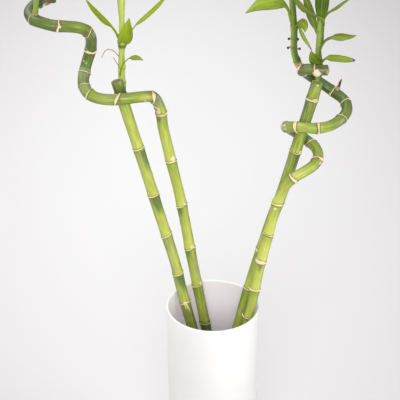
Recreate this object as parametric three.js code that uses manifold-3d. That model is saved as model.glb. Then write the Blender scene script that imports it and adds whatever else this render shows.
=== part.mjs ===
// Lucky bamboo: four canes with leafy shoots standing in water in a plain white vase.
// Millimetres, +Z up. The origin is the middle of the vase's underside, and the
// viewer stands on the -Y side.
import * as THREE from 'three';
import { mergeVertices } from 'three/addons/utils/BufferGeometryUtils.js';
import Module from 'manifold-3d';

const wasm = await Module();
wasm.setup();

// Driving dimensions

const GAP = 0.3;             // free space between neighbours
const VASE_HEIGHT = 230;
const RIM_RADIUS = 45;       // outside, at the top
const FOOT_RADIUS = 42;      // outside, at the table
const WALL = 2.2;
const FLOOR = 6;
const WATER_LEVEL = 108;
const RING_RISE = 0.55;      // how far a ring stands out of its cane
const RING_HALF = 1.5;       // half the length of a ring along its cane
const BLADE = 0.7;           // thickness of a leaf's edge

// Canes: a centreline from the foot up, the radius at foot and top, and the rings at
// their distances along it. The leaves once grew at these rings.

const CANES = {
  a: {
    radius: [4.9, 5.3],
    line: [
      [27, 7, 7.6], [-29.5, 22.5, 228.5], [-36.5, 24, 263], [-54.5, 28, 329],
      [-72, 33, 392], [-89, 37, 452.5],
    ],
    rings: [32, 66, 103, 141, 180, 219, 252, 295.5, 340, 390, 451],
    sides: 12,
    straight: 500,
  },
  b: {
    radius: [4.9, 5.2],
    line: [
      [25, 18.5, 7.3], [-19.5, 35.5, 255.5], [-31, 41, 323.5], [-41.5, 44, 372.5],
      // out toward the viewer and left, in front of cane a
      [-47, 43, 401], [-49.5, 37, 424.5], [-55.5, 27.5, 440.5], [-66.5, 20, 444.5],
      [-78, 17, 444.5], [-89, 17, 443.5], [-100, 18.5, 443], [-109.5, 21, 444.5],
      // round the left and up behind
      [-116, 25.5, 448], [-119, 33, 453.5], [-118, 41, 460], [-116, 46, 467],
      [-113, 47.5, 476.5], [-111.5, 45, 486.5], [-111.5, 38.5, 497],
      // left again in front
      [-115, 30, 506.5], [-122, 23, 512.5], [-131.5, 18.5, 515.5], [-142, 17, 517],
      [-152.5, 20, 518.5], [-161, 27, 519],
      // back and right to the cut end
      [-165, 36, 521], [-161, 45.5, 524], [-154, 53, 525.5], [-144.5, 58, 527],
    ],
    rings: [
      28, 64, 102, 143, 184.7, 228.5, 269.5, 316.3, 364.3, 418, 446.3, 481.5, 507.8,
      517.3, 530.8, 552.5, 584.8, 617.5, 642.2,
    ],
    sides: 10,
    straight: 390,
  },
  c: {
    radius: [5.2, 5.5],
    line: [
      [-19, -14, 7.7], [34.5, 17.2, 235.8], [47, 24.5, 279.5], [55.5, 28, 308.5],
      [66, 31.5, 340], [81, 38, 394.5], [90, 42.5, 426], [95.5, 45, 446.5],
    ],
    rings: [35, 74, 113, 152, 193, 238, 281.5, 333, 386.8, 439.8],
    sides: 12,
    straight: 500,
  },
  d: {
    radius: [4.8, 4.9],
    line: [
      [-10, -27, 7.5], [38.5, -1, 241], [44, 3, 270.5], [52, 8.5, 304],
      [59.5, 13.5, 335], [64, 15, 345.5],
      // right in front of cane c and round behind it
      [68.5, 13.5, 357], [76, 12.5, 365], [85.5, 15, 370], [94.5, 22, 373.5],
      [98, 31.5, 377], [95.5, 41, 380.5], [88.5, 49, 382.5], [80, 53.5, 385.5],
      [72.5, 50, 391.5], [68, 41.5, 400], [69, 32, 407],
      // a second, wider turn
      [75.5, 23, 412], [83.5, 17, 414.5], [95.5, 15.5, 414.5], [108, 19.5, 415.5],
      [118, 27.5, 418.5], [123.5, 38, 422.5], [121, 48, 427], [113.5, 56.5, 430],
      [103.5, 61, 435.5], [92.5, 60.5, 442], [83.5, 54, 450.5],
      // over the top of cane c to the cut end
      [81.5, 44.5, 459.5], [87, 36.5, 464.5], [96, 34, 465], [104, 33.5, 465],
    ],
    rings: [
      30, 66, 103, 141, 178, 217, 247.8, 277.8, 305.8, 338, 370.2, 400.8, 423.5, 461,
      487, 508, 533.2, 553.5, 571.5, 618, 638.5,
    ],
    // a dried bud that stands up from the last turn
    stubs: [
      { from: [114.5, 55.5, 432.5], to: [118.5, 54, 445.5], radii: [2.2, 0.6] },
    ],
    sides: 10,
    straight: 320,
  },
};

// Geometry helpers

function vectors(points) {
  return points.map((point) => new THREE.Vector3(...point));
}

function curveThrough(points) {
  const curve = new THREE.CatmullRomCurve3(vectors(points), false, 'centripetal');
  curve.arcLengthDivisions = 1200;
  return curve;
}

// Closed skin over a stack of rings of points, the ends closed by a point each. The
// quads of the flipped sides are split along their other diagonal.
function skin(rows, first, last, flipped = []) {
  const sides = rows[0].length;
  const positions = [];
  const index = [];
  rows.flat().forEach((p) => positions.push(p.x, p.y, p.z));
  for (let row = 0; row + 1 < rows.length; row += 1) {
    for (let side = 0; side < sides; side += 1) {
      const next = (side + 1) % sides;
      const a = row * sides + side;
      const b = row * sides + next;
      if (flipped.includes(side)) {
        index.push(a, b, a + sides, b, b + sides, a + sides);
      } else {
        index.push(a, b, b + sides, a, b + sides, a + sides);
      }
    }
  }
  const low = rows.length * sides;
  const high = low + 1;
  positions.push(first.x, first.y, first.z, last.x, last.y, last.z);
  const top = (rows.length - 1) * sides;
  for (let side = 0; side < sides; side += 1) {
    const next = (side + 1) % sides;
    index.push(low, next, side);
    index.push(high, top + side, top + next);
  }
  const geometry = new THREE.BufferGeometry();
  geometry.setAttribute('position', new THREE.Float32BufferAttribute(positions, 3));
  geometry.setIndex(index);
  return geometry;
}

// Frames that follow a curve without twisting.
function framesAlong(curve, distances) {
  const length = curve.getLength();
  const frames = [];
  let normal = new THREE.Vector3(0, -1, 0);
  distances.forEach((distance) => {
    const u = Math.min(Math.max(distance / length, 0), 1);
    const origin = curve.getPointAt(u);
    const tangent = curve.getTangentAt(u).normalize();
    normal = normal.clone().addScaledVector(tangent, -normal.dot(tangent)).normalize();
    const side = new THREE.Vector3().crossVectors(tangent, normal);
    frames.push({ origin, tangent, normal, side });
  });
  return frames;
}

// A round tube whose radius changes along it, made longer at both ends by beyond.
function tube(curve, distances, radii, sides, beyond = 0) {
  const frames = framesAlong(curve, distances);
  const end = frames[frames.length - 1];
  frames[0].origin.addScaledVector(frames[0].tangent, -beyond);
  end.origin.addScaledVector(end.tangent, beyond);
  const rows = frames.map((frame, row) => {
    const ring = [];
    for (let side = 0; side < sides; side += 1) {
      const angle = (side / sides) * Math.PI * 2;
      ring.push(
        frame.origin.clone()
          .addScaledVector(frame.normal, radii[row] * Math.cos(angle))
          .addScaledVector(frame.side, radii[row] * Math.sin(angle)),
      );
    }
    return ring;
  });
  return skin(rows, frames[0].origin, end.origin);
}

function solid(geometry) {
  const bare = geometry.clone();
  bare.deleteAttribute('normal');
  bare.deleteAttribute('uv');
  const merged = mergeVertices(bare, 1e-4);
  return new wasm.Manifold(new wasm.Mesh({
    numProp: 3,
    vertProperties: new Float32Array(merged.attributes.position.array),
    triVerts: new Uint32Array(merged.index.array),
  }));
}

function geometryOf(manifold) {
  const mesh = manifold.getMesh();
  const geometry = new THREE.BufferGeometry();
  geometry.setAttribute('position', new THREE.BufferAttribute(mesh.vertProperties, 3));
  geometry.setIndex(new THREE.BufferAttribute(mesh.triVerts, 1));
  return geometry;
}

// Canes

function caneRadius(cane, distance, length) {
  return cane.radius[0] + (cane.radius[1] - cane.radius[0]) * (distance / length);
}

// Stations along a cane: three at each ring, and others where it is plain or bends.
function caneStations(cane, length, rise) {
  const stations = [{ at: 0, out: 0 }];
  const plainTo = (end) => {
    const start = stations[stations.length - 1].at;
    const step = end < cane.straight ? 60 : 7.5;
    const count = Math.round((end - start) / step);
    for (let i = 1; i < count; i += 1) {
      stations.push({ at: start + ((end - start) * i) / count, out: 0 });
    }
  };
  cane.rings.forEach((ring) => {
    plainTo(ring - RING_HALF);
    stations.push({ at: ring - RING_HALF, out: 0 });
    stations.push({ at: ring, out: rise });
    stations.push({ at: ring + RING_HALF, out: 0 });
  });
  plainTo(length);
  stations.push({ at: length, out: 0 });
  return stations;
}

function caneTube(cane, clearance) {
  const curve = curveThrough(cane.line);
  const length = curve.getLength();
  const stations = caneStations(cane, length, RING_RISE);
  const distances = stations.map((station) => station.at);
  const radii = stations.map((station) => (
    caneRadius(cane, station.at, length) + station.out + clearance
  ));
  return tube(curve, distances, radii, cane.sides, clearance);
}

// Plain hole in the water for a cane's foot.
function footHole(cane) {
  const curve = curveThrough(cane.line);
  const length = curve.getLength();
  const distances = [0, 40, 80, 120, 160];
  const radii = distances.map((distance) => (
    caneRadius(cane, distance, length) + RING_RISE + GAP
  ));
  const hole = solid(tube(curve, distances, radii, cane.sides));
  const below = curve.getPointAt(0).clone().addScaledVector(curve.getTangentAt(0), -12);
  const foot = new THREE.LineCurve3(below, curve.getPointAt(0.01));
  return hole.add(solid(tube(foot, [0, 14], [radii[0], radii[0]], cane.sides)));
}

// Leaves

// A blade's outline: a narrow stalk, then a lance shape that tapers to its tip.
function bladeWidth(t, leaf) {
  const stalk = leaf.stalk ?? 0.2;
  const narrow = leaf.neck ?? 2.6;
  if (t <= stalk) {
    return narrow;
  }
  const u = (t - stalk) / (1 - stalk);
  const lance = leaf.width * Math.sin(Math.PI * u ** 0.72) ** 0.85;
  return Math.max(lance, narrow * (1 - u), 0.8);
}

// One leaf: a thin closed blade, folded a little along its midrib. line is its midrib
// from inside the stem to the tip, and across points along its width.
function leafBlade(leaf) {
  const curve = curveThrough(leaf.line);
  const length = curve.getLength();
  const stalk = leaf.stalk ?? 0.2;
  const rows = [];
  const across = new THREE.Vector3(...leaf.across).normalize();
  const middle = curve.getTangentAt(0.5);
  const up = new THREE.Vector3().crossVectors(across, middle);
  const turn = up.z < 0 ? -1 : 1;
  const steps = [0, stalk * 0.6, stalk];
  for (let i = 1; i <= 7; i += 1) {
    steps.push(stalk + (1 - stalk) * (i / 7) ** 1.05);
  }
  steps.forEach((t) => {
    const origin = curve.getPointAt(Math.min(t, 1));
    const tangent = curve.getTangentAt(Math.min(t, 1));
    const side = across.clone().addScaledVector(tangent, -across.dot(tangent));
    side.normalize().multiplyScalar(-turn);
    const normal = new THREE.Vector3().crossVectors(side, tangent).normalize();
    const half = bladeWidth(t, leaf) / 2;
    const lift = half * (leaf.fold ?? 0.22);
    const thick = BLADE + (t < stalk + 0.05 ? 0.9 : 0.2);
    const point = (s, n) => origin.clone().addScaledVector(side, s).addScaledVector(normal, n);
    rows.push([
      point(0, thick / 2), point(half, lift + BLADE / 2), point(half, lift - BLADE / 2),
      point(0, -thick / 2), point(-half, lift - BLADE / 2), point(-half, lift + BLADE / 2),
    ]);
  });
  return skin(rows, rows[0][0].clone().lerp(rows[0][3], 0.5),
    rows[rows.length - 1][0].clone().lerp(rows[rows.length - 1][3], 0.5), [2, 3]);
}

// A leaf of the crown, which leaves the stem at an angle and arches over.
function archingLeaf(stem, { at, azimuth, length, width, rise, droop }) {
  const angle = THREE.MathUtils.degToRad(azimuth);
  const outward = new THREE.Vector3(Math.cos(angle), Math.sin(angle), 0);
  const line = [];
  const point = stem.getPointAt(at);
  const pieces = 6;
  for (let i = 0; i <= pieces; i += 1) {
    line.push(point.toArray());
    const lean = THREE.MathUtils.degToRad(rise - droop * (i / pieces));
    point.addScaledVector(outward, (length / pieces) * Math.cos(lean));
    point.z += (length / pieces) * Math.sin(lean);
  }
  return { line, across: [-outward.y, outward.x, 0], width, stalk: 0.14, fold: 0.25 };
}

// Shoots

// Each shoot grows from a ring of its cane. The stem swells where leaves clasp it, and
// those in the lower part stand as listed. crown gives the ones higher up: the place
// along the stem, the way they point, length, width, rise and droop.
const SHOOTS = {
  a: {
    line: [
      [-86, 39.5, 434.5], [-84, 43.5, 439], [-84, 44.5, 445.5], [-84.5, 44.5, 454.5],
      [-84, 44.5, 464], [-84, 44, 477], [-83, 43.5, 487.5], [-83, 43, 510.5],
      [-83, 43, 530], [-82, 43.5, 559], [-80, 44.5, 589],
    ],
    radii: [2.4, 3.1, 3.3, 3.2, 3.3, 2.7, 3.6, 2.4, 3.7, 2.6, 1.6],
    leaves: [
      {
        line: [[-82.5, 44, 462], [-81, 41.5, 469.5], [-75, 38, 476], [-69, 35, 477],
          [-64, 32.5, 475.5]],
        across: [0.2, 0.9, 0.3], width: 7, stalk: 0.45, neck: 1.8,
      },
      {
        line: [[-84, 43.5, 488.5], [-87.5, 42, 497.5], [-91.5, 41, 504.5],
          [-97, 39.5, 511], [-104, 37.5, 520.5], [-110, 36, 528.5], [-114.5, 34, 536]],
        across: [0.6, -0.5, 0.6], width: 8, stalk: 0.3,
      },
      {
        line: [[-83.5, 43.5, 484.5], [-82, 39, 491.5], [-79.5, 33.5, 501.5],
          [-77.5, 29, 511], [-75.5, 26, 520.5]],
        across: [1, 0, 0.2], width: 13.5, stalk: 0.05, neck: 6, fold: 0.4,
      },
      {
        line: [[-83, 43.5, 488.5], [-77.5, 42.5, 494.5], [-74.5, 43, 500],
          [-71.5, 44.5, 504], [-64, 48, 510.5], [-56, 52, 516.5], [-46, 56, 525.5],
          [-38.5, 58, 533.5]],
        across: [0.34, 0.73, -0.8], width: 8.5, stalk: 0.3, neck: 1.8,
      },
    ],
    crown: [
      [0.66, 205, 92, 13, 58, 40], [0.70, 20, 104, 14, 62, 48],
      [0.79, 95, 98, 14, 60, 42], [0.84, 285, 100, 14, 64, 46],
      [0.92, 340, 92, 13, 68, 36], [0.985, 150, 74, 12, 76, 20],
      [0.99, 30, 62, 10, 82, 12],
    ],
  },
  b: {
    line: [
      [-160.5, 27, 520], [-159, 23.5, 528], [-158, 22, 534.5], [-157, 21.5, 541],
      [-155.5, 21.5, 557], [-152.5, 22.5, 582], [-150.5, 24, 606.5],
    ],
    radii: [2.2, 2.9, 2.7, 2.9, 3.3, 2.6, 1.6],
    leaves: [],
    crown: [
      [0.40, 195, 88, 13, 52, 44], [0.52, 300, 84, 13, 58, 44],
      [0.62, 100, 96, 14, 60, 44], [0.74, 225, 98, 14, 62, 46],
      [0.86, 165, 90, 13, 66, 38], [0.97, 310, 70, 12, 74, 26],
      [0.985, 120, 62, 10, 82, 12],
    ],
  },
  c: {
    line: [
      [95.5, 46.5, 437.5], [96, 51, 441.5], [97, 52.6, 447], [97.3, 51, 455.5],
      [96.8, 47, 466], [95.5, 45, 479.5], [96.5, 45, 490], [96.5, 45, 502],
      [96.5, 45, 511.5], [96.5, 45, 529.5], [97.5, 46, 550], [98.5, 47, 578.5],
    ],
    radii: [2.4, 2.7, 2.8, 2.9, 3, 2.6, 3.4, 3.2, 3.5, 2.9, 2.6, 1.6],
    leaves: [
      {
        line: [[97, 45.5, 465.5], [94.5, 40, 473.5], [92, 35.5, 478.5],
          [90, 32.5, 482.5], [88, 30.5, 486]],
        across: [0.95, 0.1, 0.15], width: 10, stalk: 0.05, neck: 5, fold: 0.35,
      },
      {
        line: [[97, 46, 464.5], [99.5, 42, 470.5], [103, 39.5, 474.5], [110, 36.5, 476],
          [119, 34, 476], [128, 31, 476]],
        across: [0, 0.75, 0.65], width: 7.5, stalk: 0.32, neck: 2,
      },
      {
        line: [[96, 45, 482], [98, 42.5, 489], [101.5, 40.5, 493.5], [108.5, 38.5, 496],
          [116.5, 37, 497], [122.5, 36, 497.5], [128.5, 35, 499]],
        across: [0, 0.8, 0.6], width: 8, stalk: 0.45, neck: 2,
      },
      {
        line: [[96.5, 45, 502], [100, 48, 509.5], [102.5, 50, 514.5], [109, 53, 518],
          [115.5, 56, 521.5], [123, 59, 525], [130.5, 61, 527]],
        across: [-0.15, 0.77, -0.2], width: 9, stalk: 0.2, neck: 1.8,
      },
      {
        line: [[96.5, 44.5, 505], [96.5, 41, 517.5], [96.5, 39.5, 532], [96, 38, 550],
          [94.5, 35.5, 572]],
        across: [1, 0, 0], width: 13, stalk: 0.08, neck: 7,
      },
      {
        line: [[97, 45, 503.5], [99.5, 41.5, 511], [92.5, 38.5, 517], [85, 36, 522],
          [78.5, 33, 529.5], [71, 30, 540], [61.5, 27, 552]],
        across: [0.27, 0.73, -0.07], width: 11, stalk: 0.4, neck: 4.5,
      },
      {
        line: [[96, 45, 492], [92.5, 48.5, 499], [89.5, 50.5, 507], [86.5, 52, 515.5],
          [83.5, 54, 525.5], [80, 56, 538]],
        across: [1, 0.1, 0.3], width: 8, stalk: 0.15, neck: 3,
      },
    ],
    crown: [
      [0.66, 345, 96, 14, 60, 46], [0.72, 85, 92, 14, 62, 44],
      [0.83, 300, 98, 14, 66, 44], [0.88, 40, 92, 13, 66, 42],
      [0.97, 100, 70, 11, 78, 18], [0.985, 320, 66, 11, 80, 16],
    ],
  },
  d: {
    line: [
      [81, 45.5, 459.5], [78, 46.5, 464], [76, 46.5, 469], [74.5, 46, 473],
      [73, 46, 481.5], [73, 46, 491.5], [72.5, 46, 501.5], [72, 46, 511],
      [70.5, 46, 526], [69, 46.5, 546], [66, 47.5, 574.5],
    ],
    radii: [2.6, 3.6, 3.4, 3.1, 2.9, 3, 3.1, 2.8, 2.9, 2.6, 1.6],
    // dried root tips
    stubs: [
      { from: [71.5, 44, 492], to: [67.5, 41.5, 492.5], radii: [0.9, 0.6] },
      { from: [74, 44.5, 490.5], to: [77.5, 43, 491], radii: [0.9, 0.6] },
      { from: [71.5, 44, 483.5], to: [67, 41, 483.5], radii: [0.9, 0.6] },
      { from: [74.5, 44, 482], to: [79, 42, 482.5], radii: [0.9, 0.6] },
    ],
    leaves: [
      {
        line: [[72.5, 46, 505.5], [69, 43, 515.5], [66.5, 41, 523.5], [62.5, 39, 529],
          [56, 36.5, 532.5], [46, 33.5, 532.5], [37.5, 31, 530], [28, 28.5, 524]],
        across: [0, 0.8, 0.6], width: 15.5, stalk: 0.34, neck: 4,
      },
      {
        line: [[72.5, 46, 503.5], [75.5, 42, 510], [78.5, 38, 511.5], [81, 34.5, 510],
          [81.5, 32, 508], [81.5, 30.5, 505]],
        across: [0.5, 0.5, 0.7], width: 9.5, stalk: 0.15, neck: 5,
      },
      {
        line: [[73, 46, 497.5], [76.5, 43.5, 503], [79, 42, 499], [82, 41, 493],
          [86, 40, 487], [89.5, 39.5, 481]],
        across: [0.85, 0.2, 0.45], width: 4.2, stalk: 0.2, neck: 2.4,
      },
    ],
    crown: [
      [0.60, 222, 88, 13, 56, 44], [0.70, 110, 92, 14, 62, 44],
      [0.80, 195, 98, 14, 62, 46], [0.88, 260, 90, 13, 68, 38],
      [0.97, 150, 70, 11, 76, 20], [0.985, 215, 62, 10, 80, 14],
    ],
  },
};

function spread(values, u) {
  const place = u * (values.length - 1);
  const low = Math.min(Math.floor(place), values.length - 2);
  return values[low] + (values[low + 1] - values[low]) * (place - low);
}

// Short dried stubs joined to a body.
function withStubs(body, stubs = []) {
  return stubs.reduce((whole, stub) => {
    const line = new THREE.LineCurve3(...vectors([stub.from, stub.to]));
    return whole.add(solid(tube(line, [0, line.getLength()], stub.radii, 6)));
  }, body);
}

function shootSolid(shoot, cane) {
  const stem = curveThrough(shoot.line);
  const length = stem.getLength();
  const rows = Math.round(length / 7);
  const distances = [];
  const radii = [];
  for (let row = 0; row <= rows; row += 1) {
    const distance = (length * row) / rows;
    distances.push(distance);
    radii.push(spread(shoot.radii, nearestParameter(stem, distance / length)));
  }
  let body = solid(tube(stem, distances, radii, 8));
  shoot.leaves.forEach((leaf) => {
    body = body.add(solid(leafBlade(leaf)));
  });
  shoot.crown.forEach(([at, azimuth, reach, width, rise, droop]) => {
    const leaf = archingLeaf(stem, { at, azimuth, length: reach, width, rise, droop });
    body = body.add(solid(leafBlade(leaf)));
  });
  return withStubs(body, shoot.stubs).subtract(solid(caneTube(cane, GAP)));
}

// The curve's own parameter at a share of its length.
function nearestParameter(curve, share) {
  return curve.getUtoTmapping(share);
}

// Vase and water

function turned(profile) {
  return new THREE.LatheGeometry(profile.map(([x, z]) => new THREE.Vector2(x, z)), 48)
    .rotateX(Math.PI / 2);
}

function outerRadius(z) {
  return FOOT_RADIUS + (RIM_RADIUS - FOOT_RADIUS) * (z / VASE_HEIGHT);
}

function vaseGeometry() {
  const rim = VASE_HEIGHT - 0.7;
  return turned([
    [0, 0], [FOOT_RADIUS - 1.5, 0], [outerRadius(1.5), 1.5], [outerRadius(rim), rim],
    [RIM_RADIUS - 0.7, VASE_HEIGHT], [RIM_RADIUS - WALL + 0.7, VASE_HEIGHT],
    [outerRadius(rim) - WALL, rim], [outerRadius(FLOOR + 3) - WALL, FLOOR + 3],
    [outerRadius(FLOOR) - WALL - 3, FLOOR], [0, FLOOR],
  ]);
}

function waterGeometry() {
  const low = FLOOR + GAP;
  const inset = WALL + GAP;
  const body = turned([
    [0, low], [outerRadius(FLOOR) - inset - 3, low],
    [outerRadius(low + 3) - inset, low + 3],
    [outerRadius(WATER_LEVEL) - inset, WATER_LEVEL], [0, WATER_LEVEL],
  ]);
  let water = solid(body);
  Object.values(CANES).forEach((cane) => {
    water = water.subtract(footHole(cane));
  });
  return geometryOf(water);
}

// Assembly

const plant = new THREE.Group();
plant.name = 'lucky_bamboo_in_vase';

function place(name, geometry, material) {
  const mesh = new THREE.Mesh(geometry, material);
  mesh.name = name;
  plant.add(mesh);
}

function paint(color, roughness) {
  return new THREE.MeshStandardMaterial({ color, roughness, metalness: 0 });
}

place('vase', vaseGeometry(), paint(0xf2f1ef, 0.35));
place('water', waterGeometry(), paint(0xc9d6d3, 0.1));
Object.entries(CANES).forEach(([key, cane]) => {
  const body = withStubs(solid(caneTube(cane, 0)), cane.stubs);
  place(`cane_${key}`, geometryOf(body), paint(0x93ad43, 0.4));
});
Object.entries(SHOOTS).forEach(([key, shoot]) => {
  const geometry = geometryOf(shootSolid(shoot, CANES[key]));
  place(`shoot_${key}`, geometry, paint(0x6f9a2c, 0.45));
});

export default plant;
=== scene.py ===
"""Lucky bamboo in a plain white vase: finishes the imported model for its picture.

Lengths in the tables are millimetres, as in the part's source. +Z is up, and the
viewer stands on the -Y side.
"""
import math

import bpy
import numpy as np
from bpy.props import FloatProperty, FloatVectorProperty, IntProperty, PointerProperty
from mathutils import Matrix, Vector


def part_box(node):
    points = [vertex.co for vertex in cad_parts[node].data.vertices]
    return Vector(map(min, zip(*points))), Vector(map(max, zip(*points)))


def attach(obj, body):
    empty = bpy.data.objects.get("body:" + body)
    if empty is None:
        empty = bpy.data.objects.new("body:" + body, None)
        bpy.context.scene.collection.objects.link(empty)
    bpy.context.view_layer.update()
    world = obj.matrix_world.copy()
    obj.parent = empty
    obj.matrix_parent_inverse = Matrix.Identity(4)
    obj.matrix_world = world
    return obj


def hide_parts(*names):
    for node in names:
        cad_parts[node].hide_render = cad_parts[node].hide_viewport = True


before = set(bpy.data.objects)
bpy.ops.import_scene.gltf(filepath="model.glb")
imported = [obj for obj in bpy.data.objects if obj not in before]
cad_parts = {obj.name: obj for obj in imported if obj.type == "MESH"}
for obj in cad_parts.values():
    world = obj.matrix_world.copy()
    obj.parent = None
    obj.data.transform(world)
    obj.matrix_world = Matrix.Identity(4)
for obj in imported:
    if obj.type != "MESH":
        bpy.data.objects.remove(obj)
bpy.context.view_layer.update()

bl_info = {
    "name": "Lucky Bamboo in a Vase",
    "version": (1, 0, 0),
    "blender": (4, 5, 0),
    "location": "View3D > Sidebar > Bamboo",
    "description": "Builds the detailed canes, shoots and vase over the packed model",
    "category": "Object",
}

MM = 0.001
CANE_RADIUS = 5    # of a usual cane, to measure marks round its skin
FAR = 9.0          # painted where no ring is near
PAINTED = ("scar", "peach", "shade", "brown", "dark", "bloom")    # marks with a colour

# In metres, the camera's place, and each light's place, target and size. The camera
# looks down by EYE_DIP degrees.
EYE = (-0.0125, -1.3801, 1.1669)
EYE_DIP = 30.7
LIGHTS = {
    "key": ((-0.12, -2.5, 1.55), (0, 0, 0.3), 1.4),
    "top": ((-0.7, 1.5, 3.0), (0, 0.4, 0), 3.0),
    "side": ((-1.3, 0.7, 2.0), (0, 0.5, 0), 1.6),
    "fill": ((1.8, -0.9, 0.8), (0, 0, 0.1), 1.0),
}

# Canes: the radius at foot and top, how far the upper end is domed or hollow, and how
# fresh the cut is there.
CANES = {
    "a": {"radius": (4.9, 5.3), "end": -1.3},
    "b": {"radius": (4.9, 5.2), "end": 0.6},
    "c": {"radius": (5.2, 5.5), "end": -0.3, "fresh": 0.85},
    "d": {"radius": (4.8, 4.9), "end": 1.2},
}

# Centrelines of the canes from the foot up.
CANE_LINES = {
    "a": [
        (27, 7, 7.6), (-29.5, 22.5, 228.5), (-36.5, 24, 263), (-54.5, 28, 329),
        (-72, 33, 392), (-89, 37, 452.5),
    ],
    "b": [
        (25, 18.5, 7.3), (-19.5, 35.5, 255.5), (-31, 41, 323.5), (-41.5, 44, 372.5),
        # out toward the viewer and left, in front of cane a
        (-47, 43, 401), (-49.5, 37, 424.5), (-55.5, 27.5, 440.5), (-66.5, 20, 444.5),
        (-78, 17, 444.5), (-89, 17, 443.5), (-100, 18.5, 443), (-109.5, 21, 444.5),
        # round the left and up behind
        (-116, 25.5, 448), (-119, 33, 453.5), (-118, 41, 460), (-116, 46, 467),
        (-113, 47.5, 476.5), (-111.5, 45, 486.5), (-111.5, 38.5, 497),
        # left again in front
        (-115, 30, 506.5), (-122, 23, 512.5), (-131.5, 18.5, 515.5), (-142, 17, 517),
        (-152.5, 20, 518.5), (-161, 27, 519),
        # back and right to the cut end
        (-165, 36, 521), (-161, 45.5, 524), (-154, 53, 525.5), (-144.5, 58, 527),
    ],
    "c": [
        (-19, -14, 7.7), (34.5, 17.2, 235.8), (47, 24.5, 279.5), (55.5, 28, 308.5),
        (66, 31.5, 340), (81, 38, 394.5), (90, 42.5, 426), (95.5, 45, 446.5),
    ],
    "d": [
        (-10, -27, 7.5), (38.5, -1, 241), (44, 3, 270.5), (52, 8.5, 304),
        (59.5, 13.5, 335), (64, 15, 345.5),
        # right in front of cane c and round behind it
        (68.5, 13.5, 357), (76, 12.5, 365), (85.5, 15, 370), (94.5, 22, 373.5),
        (98, 31.5, 377), (95.5, 41, 380.5), (88.5, 49, 383.5), (80, 53.5, 388),
        (73, 50, 394.5), (68.3, 41.5, 402), (69, 32, 407.5),
        # a second, wider turn
        (75.5, 23, 412), (83.5, 17, 414.5), (95.5, 15.5, 414.5), (108, 19.5, 415.5),
        (118, 27.5, 418.5), (123.5, 38, 422.5), (121, 48, 427), (113.5, 56.5, 430),
        (103.5, 61, 435.5), (92.5, 60.5, 443.5), (84, 54, 453),
        # over the top of cane c to the cut end
        (81.5, 44.5, 459.5), (87, 36.5, 464.5), (96, 34, 465), (104, 33.5, 465),
    ],
}

# Rings: the place along the cane, or that with half the width, how peach it is, how
# brown its edges are, its tilt, the degrees where it is highest, and the degrees and
# height of its bud.
RINGS = {
    "a": [32, 66, 103, 141, 180, (219, 0.5, 0.3, 0.5, 0.3, 90, 18, 1.4),
        (252, 0.42, 0.2, 0.5, 0.5, 93, 70, 1.2),
        (295.5, 0.42, 0.1, 0.4, 1, 93, 70, 1.1),
        (340, 0.48, 0.2, 0.5, 0.3, 60, 72, 1.4),
        (390, 0.55, 0.3, 0.7, 0.4, 30, 68, 1.2),
        (446.5, 0.25, 0.2, 0.2, 0.3, 60, 200, 0.3)],
    "b": [28, 64, 102, 143, (184.7, 0.45, 0.1, 0.4, 1.2, 279, 70, 0.8),
        (228.5, 0.55, 0.2, 0.6, 0.5, 93, 60, 1), (269.5, 0.5, 0.3, 0.5, 1, 93, 35, 1.2),
        (316.3, 0.5, 0.2, 0.6, 0.7, 93, 40, 1.5),
        (364.3, 0.65, 0.6, 0.6, 0.7, 282, 36, 1.2),
        (419.2, 0.7, 0, 0.8, 0.5, 78, 345, 1.6), (445, 0.95, 0.3, 1, 5, 85, 60, 0),
        (480.6, 1, 0.1, 0.9, 2.6, 350, 60, 0),
        (507.8, 0.42, 0.1, 0.3, 0.7, 144, 250, 0.5),
        (517.3, 0.3, 0, 0.1, 0.7, 15, 250, 0.3),
        (530.8, 0.42, 0, 0.4, 0.4, 18, 200, 0.5),
        (553.6, 1.05, 0.5, 1, 0.8, 189, 95, 1.8),
        (584.5, 0.4, 0.1, 0.8, 3.6, 175, 120, -1.8),
        (617.6, 0.75, 0.7, 1, 0.5, 123, 190, -0.8),
        (642.2, 0.32, 0.3, 1, 0.3, 129, 200, 0.5)],
    "c": [35, 74, 113, 152, 193, (238, 0.5, 0.4, 0.8, 0.5, 357, 300, 0.8),
        (281.5, 0.5, 0.3, 0.7, 1, 324, 310, 1.5), (333, 0.6, 0.5, 1, 0.4, 75, 270, 1),
        (386.8, 0.5, 0.4, 0.8, 0.3, 255, 45, 1.2),
        (440.6, 0.55, 0.5, 0.8, 0.3, 75, 300, 0.3)],
    "d": [30, 66, 103, 141, 178, (217, 0.6, 0.7, 0.6, 0.5, 18, 264, 1.8),
        (247.8, 1.1, 0.2, 0.35, 0.3, 57, 200, 0.6),
        (277.8, 1.8, 0.9, 0.45, 0.3, 267, 190, 0.6),
        (305.8, 0.5, 0.3, 0.8, 0.7, 291, 65, 1),
        (338, 0.85, 0.35, 0.6, 0.5, 75, 190, 0.6),
        (370.2, 1.1, 0.4, 0.8, 0.7, 12, 200, 0.6), (400, 0.9, 0.7, 1, 1.8, 24, 0, 0),
        (423.5, 0.45, 0.1, 0.5, 2.4, 177, 90, 0.4),
        (461, 0.5, 0.2, 0.5, 0.5, 60, 60, 0.5),
        (486.8, 1.5, 0.6, 0.8, 1.4, 150, 250, 0), (507.4, 1.1, 0.6, 1, 0.2, 60, 250, 0),
        (533.2, 0.42, 0, 0.2, 1.2, 150, 250, 0.5),
        (553.5, 0.6, 0, 0.1, 1, 105, 250, 0.5),
        (571.8, 0.5, 0.1, 0.1, 0.4, 90, 250, 0.5), (621, 1.5, 0.85, 1, 5, 205, 250, 0),
        (638.5, 0.38, 0.2, 0.7, 0.5, 285, 40, 0.3)],
}

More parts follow.
